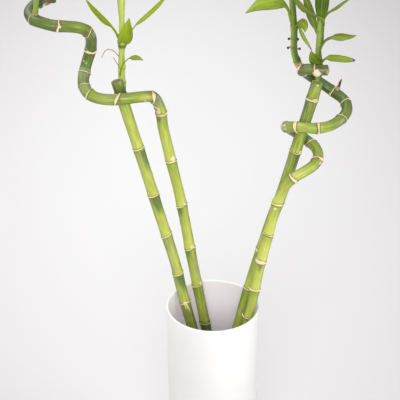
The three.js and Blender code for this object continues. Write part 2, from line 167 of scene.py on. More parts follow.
# How deep the green is at places along the canes. Part of it is painted shade: the
# darker green where the canes go down inside the vase, and at the top of cane a where
# cane b crosses in front of it. The lighter green on cane b near 585 is a painted
# highlight.
DEPTHS = {
    "a": [(0, 0.55), (214, 0.6), (224, 0.35), (300, 0.3), (436, 0.3), (449, 1.1),
        (456, 0.8), (467, 0.45)],
    "b": [(0, 0.7), (183, 0.9), (190, 0.5), (226, 0.45), (236, 0.3), (400, 0.2),
        (436, 0.3), (446, 0.55), (494, 0.5), (516, 0.5), (520, 0.8), (540, 0.9),
        (562, 0.85), (585, 0.6), (602, 0.65), (622, 0.85), (640, 1), (646, 1.6),
        (690, 1.7)],
    "c": [(0, 0.5), (234, 0.5), (244, 0.35), (300, 0.38), (345, 0.38), (380, 0.55),
        (440, 0.6), (452, 0.55), (460, 0.7)],
    "d": [(0, 0.4), (243, 0.4), (254, 0.15), (300, 0), (340, 0.12), (395, 0.4),
        (423, 0.5), (426, 1), (440, 0.9), (455, 0.4), (470, 0.35), (505, 0.4),
        (530, 0.7), (545, 0.8), (572, 1.25), (612, 1.3), (625, 0.8), (640, 0.9)],
}

# Marks on the skin, by what they are: the place along the cane, the angle round it in
# degrees, the length along the cane, half the width round it, and how strong it is if
# not full. Sheathed skin and bloom start at their place and fade down the cane. Some
# shade marks are painted shadow, where other canes cross in front and inside the vase,
# and some bloom marks are painted highlight streaks.
MARKS = {
    "a": {
        "bud": [(219, 10, 3, 1.8), (214, 25, 3, 1), (361.5, 72, 2, 1.4)],
        "scar": [(219.5, 8, 2.6, 2), (216, 20, 3, 0.9), (212, 30, 3, 0.8),
            (215, 0, 2.2, 0.7)],
        "shade": [(388.5, 55, 34, 4.5, 0.9), (338.8, 34, 26, 6.5), (251, 45, 28, 6),
            (450, 20, 6, 14)],
        "brown": [(208, 20, 9, 14, 0.45), (360, 72, 3, 0.8, 0.6),
            (338.4, 40, 0.9, 6, 0.8)],
        "bloom": [(388.5, 20, 34, 16, 0.3), (300, 300, 260, 5, 0.5),
            (293, 20, 30, 16, 0.4)],
    },
    "b": {
        "bud": [(430, 308, 3.2, 2.6), (677, 350, 3, 2), (684.5, 20, 2.4, 2.2),
            (669, 0, 2.4, 1.6)],
        "scar": [(368, 38, 2.6, 3), (272.5, 34, 1.6, 2), (231.5, 50, 1.5, 2),
            (425, 338, 2, 2.2), (456.5, 15, 1.2, 1.3), (449, 70, 2, 3.4),
            (542, 69, 1.4, 0.7), (541, 99, 0.8, 0.5), (554.6, 90, 2.5, 3),
            (556.4, 62, 1.8, 0.9), (616.2, 182, 0.9, 1.1), (648, 124, 2.6, 1.6, 0.8),
            (674, 340, 4.4, 2.4, 0.9), (684, 18, 2.6, 2.2), (662, 350, 5, 2, 0.7)],
        "peach": [(318.8, 40, 1.2, 2.2), (430, 316, 7, 5.4), (554.5, 165, 1.4, 1.6),
            (642.3, 264, 1.6, 3)],
        "shade": [(417.5, 321, 13, 3.2, 0.8), (315.3, 325, 16, 3.4, 0.8),
            (268.5, 330, 14, 4, 0.6), (227.5, 300, 40, 3.5, 0.5), (184, 20, 60, 14)],
        "brown": [(429.5, 316, 3.6, 2.8), (452.8, 95, 1.8, 3.6, 0.55),
            (445.6, 95, 2, 3, 0.6), (443.5, 40, 2.2, 3, 0.6),
            (437, 335, 3.6, 2.2, 0.55), (450.5, 10, 1.4, 2.2, 0.6),
            (423.5, 10, 1.1, 1.4, 0.8), (439, 327, 1.6, 1.6, 0.7),
            (478.4, 62, 1.5, 1.6, 0.9), (478.3, 20, 1.4, 1.4, 0.6),
            (556.8, 125, 1, 3.6), (556, 66, 1.8, 1.4, 0.9), (551.2, 130, 1, 3.4, 0.9),
            (592.5, 150, 2.6, 2.4, 0.7), (589.5, 215, 3, 2.2, 0.5),
            (619.6, 190, 0.6, 3.4), (677, 330, 5, 3.4)],
        "dark": [(429.5, 316, 1.6, 1.4, 0.7), (667, 300, 5, 2.6), (683.5, 350, 2.2, 2),
            (672, 250, 6, 3, 0.9)],
        "bloom": [(262, 20, 60, 2, 0.5), (446, 48, 20, 8, 0.85), (500, 110, 60, 5, 0.4),
            (535, 100, 26, 12, 0.6), (517, 110, 12, 12, 0.6), (583, 220, 14, 5, 0.9),
            (672, 170, 44, 12, 0.7)],
    },
    "c": {
        "scar": [(280.3, 300, 2.4, 2.2), (389, 45, 1.3, 2), (441.6, 28, 2.2, 3),
            (456.6, 4, 1.4, 0.9)],
        "shade": [(385.8, 38, 27, 4.2, 0.8), (439, 300, 24, 3.4, 0.7)],
        "brown": [(432, 333, 3.5, 0.6), (441.6, 26, 2.4, 3, 0.42),
            (443.9, 0, 0.7, 5, 0.8), (458, 25, 1.6, 2.4, 0.8)],
        "dark": [(282.6, 292, 0.8, 2.2, 0.8)],
        "bloom": [(439, 285, 26, 6, 0.6), (385, 290, 60, 4, 0.4),
            (458, 300, 18, 4, 0.5)],
    },
    "d": {
        "bud": [(218, 264, 2, 1.6), (571.5, 110, 2, 1.6), (641.5, 325, 3.2, 3.6),
            (641.5, 330, 2.8, 3)],
        "scar": [(334.2, 348, 1.3, 1.8), (298.5, 354, 0.7, 0.5), (291.5, 0, 0.8, 0.5),
            (397.2, 10, 1.7, 1.7), (415, 216, 1.2, 0.9), (472, 125, 6.5, 5.2, 0.45),
            (468, 122, 1.6, 3), (475, 105, 1.5, 1), (476, 150, 1.3, 1.5),
            (573, 351, 1.3, 1), (650.5, 285, 2, 2.4, 0.8)],
        "peach": [(400.3, 350, 1.3, 3.4), (571.5, 105, 2.2, 2), (641.2, 300, 4.2, 5.2),
            (616.2, 245, 3.2, 6.5, 0.9)],
        "shade": [(275.6, 355, 13, 3.6, 0.7), (648, 262, 8, 5, 0.8)],
        "brown": [(279.8, 330, 0.5, 3, 0.8), (402.6, 350, 0.8, 4),
            (463, 140, 1, 4.5, 0.8), (474, 128, 1.1, 1.2, 0.8), (490, 70, 0.8, 2, 0.7),
            (507.4, 120, 1.4, 9, 0.42), (485, 190, 1, 1.6, 0.8), (530.5, 156, 1.8, 1.4),
            (650, 262, 3.4, 6, 0.75), (648, 312, 2.2, 2, 0.8), (649.5, 225, 3, 4, 0.6),
            (617.8, 285, 1, 3, 0.9), (614.4, 225, 1.4, 7, 0.7),
            (629, 208, 0.8, 1.6, 0.8)],
        "dark": [(397.2, 46, 2.2, 1.1, 0.8), (395.6, 32, 2.8, 1.5, 0.9),
            (570.3, 350, 0.8, 1.4, 0.7), (643, 238, 4.6, 2.6, 0.55),
            (619.5, 250, 0.9, 0.9, 0.9), (632, 190, 1.6, 2, 0.6)],
        "bloom": [(480, 90, 16, 4, 0.6), (532, 140, 14, 3, 0.7),
            (636, 240, 15, 6, 0.35)],
    },
}

# The dried bud that stands up from the last turn of cane d, and its radius at shares
# of its length.
THORN = {
    "line": [(114.5, 55.5, 432.5), (116.6, 55.1, 438.5), (118.5, 54, 445.5)],
    "shares": (0, 0.25, 0.42, 0.75, 1), "radii": (2.7, 2, 1.25, 1.05, 0.4),
}

# Stems of the shoots: the line and the radius at points along it, how pale it is, the
# side with painted shade in degrees and how dark, how far the husk at the base
# reaches and how brown it is, and the height, slant, turn and bulge of each collar.
STEMS = {
    "a": {
        "line": [(-86, 39.5, 434.5), (-84, 43.5, 439), (-84, 44.5, 445.5),
            (-84.5, 44.5, 454.5), (-84, 44.5, 464), (-84, 44, 477), (-83, 43.5, 487.5),
            (-83, 43, 510.5), (-83, 43, 530), (-82, 43.5, 559), (-80, 44.5, 589)],
        "radii": (2.4, 3.1, 3.3, 3.2, 3.3, 2.7, 3.6, 2.4, 3.7, 2.6, 1.6),
        "pale": 0.8,
        "collars": [(487, 0.6, 1, 3.5), (464.5, 2, 3.4, 1), (447, 1.6, 0.5, 1.6)],
    },
    "b": {
        "line": [(-160, 27, 520), (-158.3, 23.5, 528), (-157.4, 22, 534.5),
            (-156.6, 21.5, 541), (-155.3, 21.5, 557), (-152.5, 22.5, 582),
            (-150.5, 24, 606.5)],
        "radii": (2.3, 2.6, 2.3, 2.5, 3.1, 2.6, 1.6),
        "pale": 0.3, "base": 1.35, "woody": 1,
        "collars": [(527.5, 0.4, 0, 1.2), (546, 1.5, 2, 1), (566, 1.5, 4, 1)],
    },
    "c": {
        "line": [(95.5, 46.5, 437.5), (96, 51, 441.5), (97, 52.6, 447),
            (97.3, 51, 455.5), (96.8, 47, 466), (95.5, 45, 479.5), (96.5, 45, 490),
            (96.5, 45, 502), (96.5, 45, 511.5), (96.5, 45, 529.5), (97.5, 46, 550),
            (98.5, 47, 578.5)],
        "radii": (2.4, 2.7, 2.8, 2.9, 3, 2.6, 3.4, 3.2, 3.5, 2.9, 2.6, 1.6),
        "pale": 0.35, "side": (75, 0.7),
        "collars": [(462, 1.2, 1, 1.2), (484, 3.5, 1.6, 0.7), (501, 1.5, 2.4, 0.8)],
    },
    "d": {
        "line": [(81, 45.5, 459.5), (78, 46.5, 464), (76, 46.5, 469), (74.5, 46, 473),
            (73, 46, 481.5), (73, 46, 491.5), (72.5, 46, 501.5), (72, 46, 511),
            (70.5, 46, 526), (69, 46.5, 546), (66, 47.5, 574.5)],
        "radii": (2.6, 3.6, 3.4, 3.1, 2.9, 3, 3.1, 2.8, 2.9, 2.6, 1.6),
        "pale": 0.3, "side": (55, 0.75), "base": 1.5, "woody": 1,
        "collars": [(470, 0.8, 2, 1.5), (483, 0.6, 1, 1.2), (492, 0.6, 4, 1.2),
            (503, 1.6, 5, 1)],
    },
}

# The leaves that the picture shows: the line from stem to tip, the way across, the
# width, and what differs from a plain leaf.
LEAVES = {
    "a": [
        {"line": [(-86, 41.1, 456), (-84.6, 40.4, 462.5), (-81.5, 40.2, 469.5),
            (-75, 38, 476), (-69, 35, 477), (-64, 32.5, 475.5)],
         "across": (0.2, 0.9, 0.3), "width": 7, "stalk": 0.6, "neck": 1.7, "tone": 0.2},
        {"line": [(-84, 43.5, 488.5), (-87.5, 42, 497.5), (-91.5, 41, 504.5),
            (-97, 39.5, 511), (-104, 37.5, 520.5), (-110, 36, 528.5),
            (-114.5, 34, 536)],
         "across": (0.6, -0.5, 0.6), "width": 8, "stalk": 0.3, "tone": 0.5},
        {"line": [(-83.5, 43.5, 484.5), (-82, 39, 491.5), (-79.5, 33.5, 501.5),
            (-77.5, 29, 511), (-75.5, 26, 520.5)],
         "across": (1, 0, 0.2), "width": 13.5, "stalk": 0.05, "neck": 6, "fold": 0.4,
         "tone": 0.5},
        {"line": [(-83, 43.5, 488.5), (-77.5, 42.5, 494.5), (-74.5, 43, 500),
            (-71.5, 44.5, 504), (-64, 48, 510.5), (-56, 52, 516.5), (-46, 56, 525.5),
            (-38.5, 58, 533.5)],
         "across": (0.34, 0.73, -0.8), "width": 8.5, "stalk": 0.3, "neck": 1.8,
         "tone": 0.6},
    ],
    "b": [],
    "c": [
        {"line": [(97, 45.5, 465.5), (93.5, 40, 473), (90.5, 35.5, 478),
            (88.5, 32.5, 482.5), (87.5, 30.5, 486)],
         "across": (0.95, 0.1, 0.15), "width": 12, "stalk": 0.05, "neck": 6,
         "fold": 0.35, "tone": -0.15},
        {"line": [(97, 46, 464.5), (99.5, 42, 470.5), (103, 39.5, 474.5),
            (110, 36.5, 476), (119, 34, 476), (128, 31, 476)],
         "across": (0, 0.75, 0.65), "width": 7, "stalk": 0.32, "neck": 2.4,
         "blunt": 0.42, "dry": 0.1, "tone": -0.05},
        {"line": [(96, 45, 479), (98.3, 42.5, 487), (102, 40.5, 492.5),
            (108.5, 38.5, 496), (116.5, 37, 497), (122.5, 36, 497.5), (128.5, 35, 499)],
         "across": (0, 0.8, 0.6), "width": 7.5, "stalk": 0.45, "neck": 3,
         "tone": -0.35},
        {"line": [(96.5, 45, 502), (100, 48, 509.5), (102.5, 50, 514.5), (109, 53, 518),
            (115.5, 56, 521.5), (123, 59, 525), (130.5, 61, 527)],
         "across": (-0.15, 0.77, -0.2), "width": 9, "stalk": 0.2, "neck": 1.8,
         "tone": -0.5},
        {"line": [(96.5, 44.5, 505), (96.5, 41, 517.5), (96.5, 39.5, 532),
            (96, 38, 550), (94.5, 35.5, 572)],
         "across": (1, 0, 0), "width": 13, "stalk": 0.08, "neck": 7, "tone": -0.7},
        {"line": [(97, 45, 503.5), (99.5, 41.5, 511), (92.5, 38.5, 517), (85, 36, 522),
            (78.5, 33, 529.5), (71, 30, 540), (61.5, 27, 552)],
         "across": (0.27, 0.73, -0.07), "width": 11, "stalk": 0.4, "neck": 4.5,
         "tone": -0.5},
        {"line": [(96, 45, 492), (92.5, 48.5, 499), (89.5, 50.5, 507),
            (86.5, 52, 515.5), (83.5, 54, 525.5), (80, 56, 538)],
         "across": (1, 0.1, 0.3), "width": 8, "stalk": 0.15, "neck": 3, "tone": -0.6},
    ],
    "d": [
        {"line": [(72.5, 46, 505.5), (69, 43, 515.5), (66.5, 41, 523.5),
            (62.5, 39, 529), (56, 36.5, 532.5), (46, 33.5, 532.5), (37.5, 31, 530),
            (28, 28.5, 524)],
         "across": (0, 0.8, 0.6), "width": 15.5, "stalk": 0.34, "neck": 5.5,
         # split darkens one half of this blade: painted shade
         "tone": 0.45, "split": -0.5},
        {"line": [(72.5, 46, 503.5), (75.5, 42, 508.5), (79, 38, 510),
            (81.2, 34.5, 508.5), (81.7, 32, 506.5), (81.6, 30.5, 504)],
         "across": (0.5, 0.5, 0.7), "width": 9.5, "stalk": 0.15, "neck": 5,
         "tone": -0.2},
        {"line": [(73, 46, 497.5), (76.5, 43.5, 503), (79, 42, 499), (82, 41, 493),
            (86, 40, 487), (89.5, 39.5, 481)],
         "across": (0.85, 0.2, 0.45), "width": 3.6, "stalk": 0.2, "neck": 2.2,
         "dry": 0.22, "tone": -0.1},
    ],
}

# The leaves higher up: the place along the stem, the way they point, the length,
# width, rise and droop.
CROWNS = {
    "a": [(0.66, 205, 92, 13, 58, 40), (0.7, 20, 104, 14, 62, 48),
        (0.79, 95, 98, 14, 60, 42), (0.84, 285, 100, 14, 64, 46),
        (0.92, 340, 92, 13, 68, 36), (0.985, 150, 74, 12, 76, 20),
        (0.99, 30, 62, 10, 82, 12)],
    "b": [(0.4, 195, 88, 13, 52, 44), (0.52, 300, 84, 13, 58, 44),
        (0.62, 100, 96, 14, 60, 44), (0.74, 225, 98, 14, 62, 46),
        (0.86, 165, 90, 13, 66, 38), (0.97, 310, 70, 12, 74, 26),
        (0.985, 120, 62, 10, 82, 12)],
    "c": [(0.66, 345, 96, 14, 60, 46), (0.72, 85, 92, 14, 62, 44),
        (0.83, 300, 98, 14, 66, 44), (0.88, 40, 92, 13, 66, 42),
        (0.97, 100, 70, 11, 78, 18), (0.985, 320, 66, 11, 80, 16)],
    "d": [(0.6, 222, 88, 13, 56, 44), (0.7, 110, 92, 14, 62, 44),
        (0.8, 195, 98, 14, 62, 46), (0.88, 260, 90, 13, 68, 38),
        (0.97, 150, 70, 11, 76, 20), (0.985, 215, 62, 10, 80, 14)],
}

# The thin dry threads that are left of two leaves on shoot a, and the dried root tips
# on shoot d, with a dark knob at the end.
DRY_LINES = {
    "a": [
        [(-84.5, 43, 472), (-87.8, 42, 476.5), (-91.4, 42, 480.5), (-95.5, 42, 481.9),
         (-98.6, 42, 480.2), (-100.5, 42, 477.2), (-102.1, 42, 473.1)],
        [(-84.5, 43, 463), (-87.4, 42, 466.3), (-89.8, 42, 470.4), (-91.5, 42, 473.8)],
    ],
    "d": [
        [(72, 44.5, 492), (69.8, 43.3, 492.3), (67.2, 42.6, 491.7)],
        [(74, 44.5, 490.8), (75.6, 43.6, 491), (77, 43, 491.4)],
        [(72, 44.5, 483.5), (69.5, 43.2, 483.8), (66.7, 42.8, 482.3)],
        [(74, 44.5, 482), (76.5, 43.2, 481.8), (79, 42.6, 482.2)],
    ],
}


# Settings

def display(red, green, blue):
    """The colour that a screen shows as these 0 to 255 values."""
    return tuple(
        part / 12.92 if part <= 0.04045 else ((part + 0.055) / 1.055) ** 2.4
        for part in (red / 255, green / 255, blue / 255)
    )


def length_of(name, description, default):
    return FloatProperty(name=name, description=description, default=default,
                         min=0.0, unit="LENGTH", precision=4)


def colour_of(name, description, *values):
    return FloatVectorProperty(name=name, description=description, size=3, min=0.0,
                               max=1.0, subtype="COLOR", default=display(*values))


def power_of(name, description, default):
    return FloatProperty(name=name, description=description, default=default,
                         min=0.0, unit="POWER")


class VaseSettings(bpy.types.PropertyGroup):
    """Sizes and colours of the vase and its water"""

    height: length_of("Height", "From the table to the rim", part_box("vase")[1][2])
    rim: length_of("Rim Radius", "Outside radius at the rim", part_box("vase")[1][0])
    foot: length_of("Foot Radius", "Outside radius at the table", 0.042)
    wall: length_of("Wall", "Thickness of the wall", 0.0022)
    floor: length_of("Floor", "Thickness of the floor", 0.006)
    glaze: colour_of("Glaze", "Colour of the glaze", 252, 248, 249)
    # painted light colour: the pink tint offsets the green light that the canes cast on
    # the inner wall
    inside: colour_of("Inside", "Colour of the glaze inside", 252, 240, 248)
    clay: colour_of("Clay", "Colour of the bare foot", 232, 228, 220)
    water: colour_of("Water", "Tint of the water", 226, 238, 226)


class CaneSettings(bpy.types.PropertyGroup):
    """Shape and colours of the canes"""

    sides: IntProperty(name="Sides", description="Faces round a cane", default=40,
                       min=12, max=96)
    swell: length_of("Swell", "How far a cane swells at a ring", 0.0003)
    ridge: length_of("Ridge", "How far a ring stands out", 0.0004)
    young: colour_of("Young Skin", "Yellow-green above a ring", 200, 208, 88)
    pale: colour_of("Pale Streak", "Pale lengthwise streaks", 222, 222, 144)
    green: colour_of("Green Skin", "Plain green skin", 134, 154, 34)
    # old and dark green skin, also the colour of the painted shade that the depth
    # carries
    deep: colour_of("Deep Skin", "Old or shaded green skin", 66, 94, 14)
    # also the colour of painted shade where the depth runs high
    old_and_shaded: colour_of("Oldest Skin", "Dark green skin of the oldest turns", 50, 74, 24)
    # also used for painted sheen on the tops and painted highlight streaks
    bloom: colour_of("Bloom", "Grey waxy bloom and dust", 140, 150, 112)
    # sheathed skin below a ring, also the colour of painted shadow where other canes
    # cross in front and inside the vase
    shade: colour_of("Sheathed Skin", "Dark green skin below a ring", 76, 102, 44)
    cream: colour_of("Cream Ring", "Colour of a plain ring", 228, 220, 168)
    peach: colour_of("Peach Ring", "Colour of a peach ring", 236, 212, 186)
    # also the colour of the painted shadow line above each ring
    bark: colour_of("Ring Edge", "Brown edges and smudges", 104, 72, 38)
    burnt: colour_of("Dried Skin", "Dark dried ends and spots", 56, 48, 40)
    pith: colour_of("Pith", "Colour of a cut end", 138, 129, 107)


class ShootSettings(bpy.types.PropertyGroup):
    """Shape and colours of the shoots"""

    blade: length_of("Blade", "Thickness of a leaf", 0.0005)
    light: colour_of("Light Leaf", "Light side of the leaf green", 150, 172, 20)
    dark: colour_of("Dark Leaf", "Dark side of the leaf green", 52, 80, 0)
    stem: colour_of("Stem", "Colour of the stem", 112, 140, 40)
    stripe: colour_of("Stem Stripe", "Pale lengthwise stripes", 192, 206, 98)
    husk: colour_of("Husk", "Dried husk at the base of a shoot", 206, 168, 132)
    dry: colour_of("Dry", "Dried tips and threads", 150, 132, 118)
    burnt: colour_of("Burnt", "Dark ends of dried tips", 50, 42, 36)


class StageSettings(bpy.types.PropertyGroup):
    """Camera, floor and light"""

    lens: FloatProperty(name="Lens", description="Focal length of the camera",
                        default=155.7, min=10, max=400, unit="CAMERA")
    floor: colour_of("Floor", "Colour of the floor", 235, 234, 234)
    # painted shade: the floor greys towards this colour away from the middle, as a pool
    # of light falls off
    edge: colour_of("Floor Edge", "Floor away from the middle", 204, 201, 202)
    key: power_of("Key", "Power of the main light", 47.5)
    top: power_of("Top", "Power of the wide light above", 20)
    side: power_of("Side", "Power of the light on the left", 24)
    fill: power_of("Fill", "Power of the light on the right", 15)
    sky: FloatProperty(name="Sky", description="Strength of the light all round",
                       default=0.46, min=0)


# Lines, sweeps and meshes

def unit(vectors):
    return vectors / np.maximum(np.linalg.norm(vectors, axis=-1, keepdims=True), 1e-9)


def smooth(value, low, high):
    """0 at low and 1 at high, with a soft change between them."""
    share = np.clip((value - low) / (high - low), 0, 1)
    return share * share * (3 - 2 * share)


def bell(value, width):
    return np.exp(-(value / width) ** 2)


def circle(sides):
    """Angles round a ring of points."""
    return np.arange(sides) / sides * 2 * math.pi


def turn_between(angle, centre):
    """The way from centre to angle round a circle, in radians."""
    return (angle - centre + math.pi) % (2 * math.pi) - math.pi


class Path:
    """A smooth line through points, measured along its length."""

    FINE = 60      # steps between two points
    REACH = 0.4    # how far each way a tangent looks

    def __init__(self, points):
        p = np.array(points, float)
        p = np.vstack([2 * p[0] - p[1], p, 2 * p[-1] - p[-2]])
        u = np.linspace(0, 1, self.FINE, endpoint=False)[:, None]
        pieces = []
        for a, b, c, d in zip(p, p[1:], p[2:], p[3:]):
            ab, bc, cd = (math.dist(*pair) ** 0.5 for pair in ((a, b), (b, c), (c, d)))
            leave = ((b - a) / ab - (c - a) / (ab + bc) + (c - b) / bc) * bc
            reach = ((c - b) / bc - (d - b) / (bc + cd) + (d - c) / cd) * bc
            pieces.append(b + leave * u + (3 * (c - b) - 2 * leave - reach) * u ** 2
                          + (2 * (b - c) + leave + reach) * u ** 3)
        self.points = np.vstack(pieces + [p[-2:-1]])
        steps = np.linalg.norm(np.diff(self.points, axis=0), axis=1)
        self.run = np.concatenate([[0], np.cumsum(steps)])
        self.length = self.run[-1]

    def at(self, distance):
        return np.stack([np.interp(distance, self.run, self.points[:, axis])
                         for axis in range(3)], axis=-1)

    def tangent(self, distance):
        ahead = self.at(np.minimum(distance + self.REACH, self.length))
        behind = self.at(np.maximum(distance - self.REACH, 0))
        return unit(ahead - behind)

    def share(self, distance):
        """The place among the line's points, from 0 to 1."""
        return np.interp(distance, self.run, np.linspace(0, 1, len(self.run)))

    def frames(self, distances):
        """Origin and two sides at each distance, without twist from the front."""
        tangents = self.tangent(distances)
        normals = np.empty_like(tangents)
        normal = np.array((0.0, -1.0, 0.0))
        for row, tangent in enumerate(tangents):
            normal = unit(normal - tangent * normal.dot(tangent))
            normals[row] = normal
        return self.at(distances), normals, np.cross(tangents, normals)


def swept(path, distances, radius, sides):
    """Rings of points round a path. radius is one number a ring, or one a point."""
    origin, normal, side = path.frames(distances)
    angle = circle(sides)[None, :, None]
    out = normal[:, None] * np.cos(angle) + side[:, None] * np.sin(angle)
    radius = np.broadcast_to(np.asarray(radius, float).reshape(len(distances), -1),
                             (len(distances), sides))
    return origin[:, None] + out * radius[..., None]


def wrapped(turn, s):
    """Places on a skin that run on round it without a seam, for textures."""
    return np.stack([np.cos(turn), np.sin(turn), s / 10], axis=-1)


def placed(name, data):
    """A new object in the scene."""
    thing = bpy.data.objects.new(name, data)
    bpy.context.scene.collection.objects.link(thing)
    return thing


class Skin:
    """Gathers rings of points, and the values painted on them, into one mesh."""

    KINDS = {1: ("FLOAT", "value"), 3: ("FLOAT_VECTOR", "vector")}

    def __init__(self, **sizes):
        self.sizes = sizes
        self.points, self.faces, self.finishes = [], [], []
        self.values = {name: [] for name in sizes}
        self.count = 0

    def add(self, rows, finish=0, **values):
        """Closed skin over rings of points. A value is one number, or one for each
        ring, each side or each point."""
        count, sides, _ = rows.shape
        index = self.count + np.arange(count * sides).reshape(count, sides)
        after = np.roll(index, -1, axis=1)
        quads = np.stack([index[:-1], after[:-1], after[1:], index[1:]], axis=-1)
        self.faces += quads.reshape(-1, 4).tolist()
        self.faces += [index[0][::-1].tolist(), index[-1].tolist()]
        self.finishes += [finish] * ((count - 1) * sides + 2)
        self.points.append(rows.reshape(-1, 3))
        for name, size in self.sizes.items():
            shape = (count, sides) + ((3,) if size == 3 else ())
            value = np.asarray(values.get(name, 0.0), float)
            if value.shape == (count,):
                value = value[:, None]
            self.values[name].append(
                np.broadcast_to(value, shape).reshape(count * sides, -1))
        self.count += count * sides

    def build(self, name, *materials):
        mesh = bpy.data.meshes.new(name)
        mesh.from_pydata((np.vstack(self.points) * MM).tolist(), [], self.faces)
        for key, size in self.sizes.items():
            kind, field = self.KINDS[size]
            attribute = mesh.attributes.new(key, kind, "POINT")
            attribute.data.foreach_set(field, np.vstack(self.values[key]).ravel())
        for material in materials:
            mesh.materials.append(material)
        mesh.polygons.foreach_set("material_index", self.finishes)
        mesh.shade_smooth()
        mesh.update()
        return placed(name, mesh)


# Shader tools

class Shade:
    """A value in a shader. Sums and products of it add their own Math nodes."""

    def __init__(self, finish, socket):
        self.finish = finish
        self.socket = socket

    def math(self, operation, *values):
        return self.finish.node("ShaderNodeMath", {"operation": operation},
                                dict(enumerate(values)))

    def __add__(self, other):
        return self.math("ADD", self, other)

    def __sub__(self, other):
        return self.math("SUBTRACT", self, other)

    def __rsub__(self, other):
        return self.math("SUBTRACT", other, self)

    def __mul__(self, other):
        return self.math("MULTIPLY", self, other)

    def __abs__(self):
        return self.math("ABSOLUTE", self)

    __radd__ = __add__
    __rmul__ = __mul__

    def between(self, low, high):
        """0 at low and 1 at high, with a soft change between them."""
        return self.finish.node(
            "ShaderNodeMapRange", {"interpolation_type": "SMOOTHSTEP"},
            {"Value": self, "From Min": low, "From Max": high})


class Finish:
    """A material and the one method that adds its nodes."""

    def __init__(self, name):
        self.material = bpy.data.materials.new(name)
        self.material.use_nodes = True
        self.tree = self.material.node_tree
        self.tree.nodes.clear()

    def node(self, kind, settings=None, sockets=None, output=0):
        node = self.tree.nodes.new(kind)
        for name, value in (settings or {}).items():
            setattr(node, name, value)
        for key, value in (sockets or {}).items():
            if isinstance(value, Shade):
                self.tree.links.new(value.socket, node.inputs[key])
            else:
                node.inputs[key].default_value = value
        return Shade(self, node.outputs[output]) if node.outputs else None

    def painted(self, *names, output="Fac"):
        """The values painted on the mesh's points under these names."""
        values = [self.node("ShaderNodeAttribute", {"attribute_name": name},
                            output=output) for name in names]
        return values if len(values) > 1 else values[0]

    def noise(self, place, scale, detail, roughness=0.5):
        """Noise at a place, or at a painted one with the scale of each axis."""
        if isinstance(place, tuple):
            name, *scales = place
            place = self.node("ShaderNodeVectorMath", {"operation": "MULTIPLY"},
                              {0: self.painted(name, output="Vector"), 1: scales})
        return self.node("ShaderNodeTexNoise", None,
                         {"Vector": place, "Scale": scale, "Detail": detail,
                          "Roughness": roughness})

    def mix(self, share, first, second):
        """The first colour changing to the second as share goes from 0 to 1."""
        first, second = (colour if isinstance(colour, Shade) else (*colour, 1.0)
                         for colour in (first, second))
        return self.node("ShaderNodeMix", {"data_type": "RGBA"},
                         {0: share, 6: first, 7: second}, output=2)

    def layers(self, colour, *coats):
        """A colour with others over it, each as far as its share says."""
        for share, paint in coats:
            colour = self.mix(share, colour, paint)
        return colour

    def surface(self, bump=None, depth=0.0, **sockets):
        """Ends the material in its shader. Names of sockets use _ for a space."""
        values = {name.replace("_", " "): value for name, value in sockets.items()}
        if bump is not None:
            values["Normal"] = self.node("ShaderNodeBump", None,
                                         {"Distance": depth, "Height": bump})
        shader = self.node("ShaderNodeBsdfPrincipled", None, values)
        self.node("ShaderNodeOutputMaterial", None, {"Surface": shader})
        return self.material


def dimmed(colour, share):
    return tuple(part * share for part in colour)


# Vase and water

def arc(centre, radius, start, end, count):
    angles = np.radians(np.linspace(start, end, count))
    return [(centre[0] + radius * math.cos(a), centre[1] + radius * math.sin(a))
            for a in angles]


def vase_profile(height, rim, foot, wall, floor):
    """Radius and height from the middle of the underside to the middle of the floor."""
    def outside(z):
        return foot + (rim - foot) * z / height
    middle, hollow, bead, cove = 0.02, 0.7, 1.7, 5
    lip = wall / 2
    straight_end = height - lip - 0.4
    profile = [(middle, hollow), (foot * 0.5, hollow), (foot - 6, hollow)]
    profile += arc((foot - 4.6, 0.9), 0.9, 200, 270, 4)
    profile += arc((foot - bead, bead), bead, 270, 358, 8)
    profile += [(outside(z), z) for z in np.linspace(3, straight_end, 60)]
    profile += arc((rim - lip, height - lip), lip, 0, 180, 14)
    profile += [(outside(z) - wall, z)
                for z in np.linspace(straight_end, floor + cove, 60)]
    profile += arc((outside(floor) - wall - cove, floor + cove), cove, 0, -90, 8)
    profile += [(foot * 0.5, floor), (middle, floor)]
    return np.array(profile)


def vase_finish(settings):
    """Satin white glaze with a fine peel, bare clay where the vase stands."""
    glaze = Finish("satin white glaze")
    cloud = glaze.noise(("spot", 1, 1, 1), 22, 3)
    peel = glaze.noise(("spot", 1, 1, 1), 420, 2)
    speck = glaze.noise(("spot", 1, 1, 1), 1500, 1).between(0.72, 0.8)
    high, inside = glaze.painted("high", "inside")
    bare = 1 - high.between(0.6, 1.1)
    colour = glaze.layers(
        settings.glaze,
        (cloud.between(0.35, 0.7) * 0.5, dimmed(settings.glaze, 0.975)),
        # painted light colour inside: the pink tint offsets the green light from the
        # canes
        (speck * 0.06, settings.clay), (inside, settings.inside),
        (bare, settings.clay))
    return glaze.surface(
        Base_Color=colour, Roughness=0.3 + cloud * 0.12 + bare * 0.4,
        bump=peel * 0.6 + cloud * 2, depth=0.00006, Coat_Roughness=0.2,
        Coat_Weight=(1 - bare) * 0.25, IOR=1.5, Subsurface_Weight=0.6,
        Subsurface_Scale=0.013, Subsurface_Radius=(1.0, 0.9, 0.95))


def water_finish(settings):
    """Clear water, a little green from the canes, with a faint uneven surface."""
    water = Finish("clear water")
    place = water.node("ShaderNodeTexCoord", output="Object")
    ripple = water.noise(place, 60, 2)
    dust = water.noise(place, 900, 2).between(0.7, 0.78)
    tint = water.mix(ripple * 0.3, settings.water, dimmed(settings.water, 0.93))
    return water.surface(
        Base_Color=tint, Roughness=0.03 + dust * 0.2, bump=ripple, depth=0.0006,
        IOR=1.333, Transmission_Weight=0.92, Alpha=0.35)


